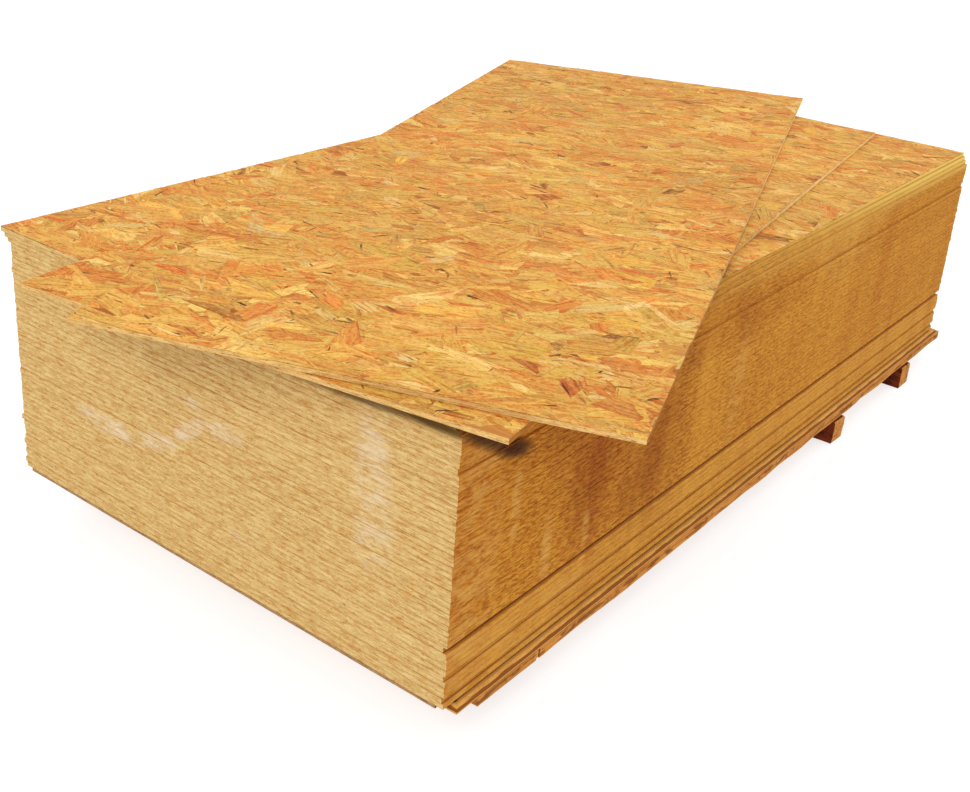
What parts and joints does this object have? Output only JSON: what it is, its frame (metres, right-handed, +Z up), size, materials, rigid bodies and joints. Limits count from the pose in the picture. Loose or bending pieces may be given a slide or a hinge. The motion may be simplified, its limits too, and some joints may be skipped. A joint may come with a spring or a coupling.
{
  "type": "stack of osb panels",
  "caption": "Squared stack of oriented strand boards on a base of boards, planks and bearers, with two loose boards turned across its top.",
  "frame": {"origin": "on the floor, under the middle of the squared stack, on the underside of the middle bearer", "axes": "+X along the panels from the near short end to the far one, +Y across them towards the left-hand long side, +Z up"},
  "size_m": [2.8956, 1.891, 0.739],
  "materials": {
    "osb_stack": "unsanded pressed strands, sawn layered edges",
    "osb_loose": "unsanded pressed strands with a light resin sheen, pale sawn edges",
    "osb_cover": "unsanded pressed strands, dusty sawn edges",
    "dark_sheet": "dark dirty fibre sheet, matte",
    "base_board": "worn particle board, matte and stained",
    "deck_plank": "rough sawn softwood, dark with age and bark edge",
    "bearer": "rough sawn softwood, weathered"
  },
  "bodies": {
    "root": {"bearer_1": "bearer", "bearer_2": "bearer", "bearer_3": "bearer", "bearer_4": "bearer", "bearer_5": "bearer", "deck_plank_right": "deck_plank", "deck_planks_inner": "deck_plank", "base_board": "base_board", "groove_sheet": "dark_sheet", "cover_sheet": "osb_cover", "panel_01": "osb_stack", "panel_02": "osb_stack", "panel_03": "osb_stack", "panel_04": "osb_stack", "panel_05": "osb_stack", "panel_06": "osb_stack", "panel_07": "osb_stack", "panel_08": "osb_stack", "panel_09": "osb_stack", "panel_10": "osb_stack", "panel_11": "osb_stack", "panel_12": "osb_stack", "panel_13": "osb_stack", "panel_14": "osb_stack", "panel_15": "osb_stack", "panel_16": "osb_stack", "panel_17": "osb_stack", "panel_18": "osb_stack", "panel_19": "osb_stack", "panel_20": "osb_stack", "panel_21": "osb_stack", "panel_22": "osb_stack", "panel_23": "osb_stack", "panel_24": "osb_stack", "panel_25": "osb_stack", "panel_26": "osb_stack", "panel_27": "osb_stack", "panel_28": "osb_stack", "panel_29": "osb_stack", "panel_30": "osb_stack", "panel_31": "osb_stack", "panel_32": "osb_stack", "panel_33": "osb_stack", "panel_34": "osb_stack", "panel_35": "osb_stack", "panel_36": "osb_stack", "panel_37": "osb_stack", "panel_38": "osb_stack", "panel_39": "osb_stack", "panel_40": "osb_stack", "panel_41": "osb_stack", "panel_42": "osb_stack", "panel_43": "osb_stack", "panel_44": "osb_stack", "panel_45": "osb_stack", "panel_46": "osb_stack", "panel_47": "osb_stack", "panel_48": "osb_stack", "loose_panel_lower": "osb_loose", "loose_panel_upper": "osb_loose"}
  },
  "joints": []
}
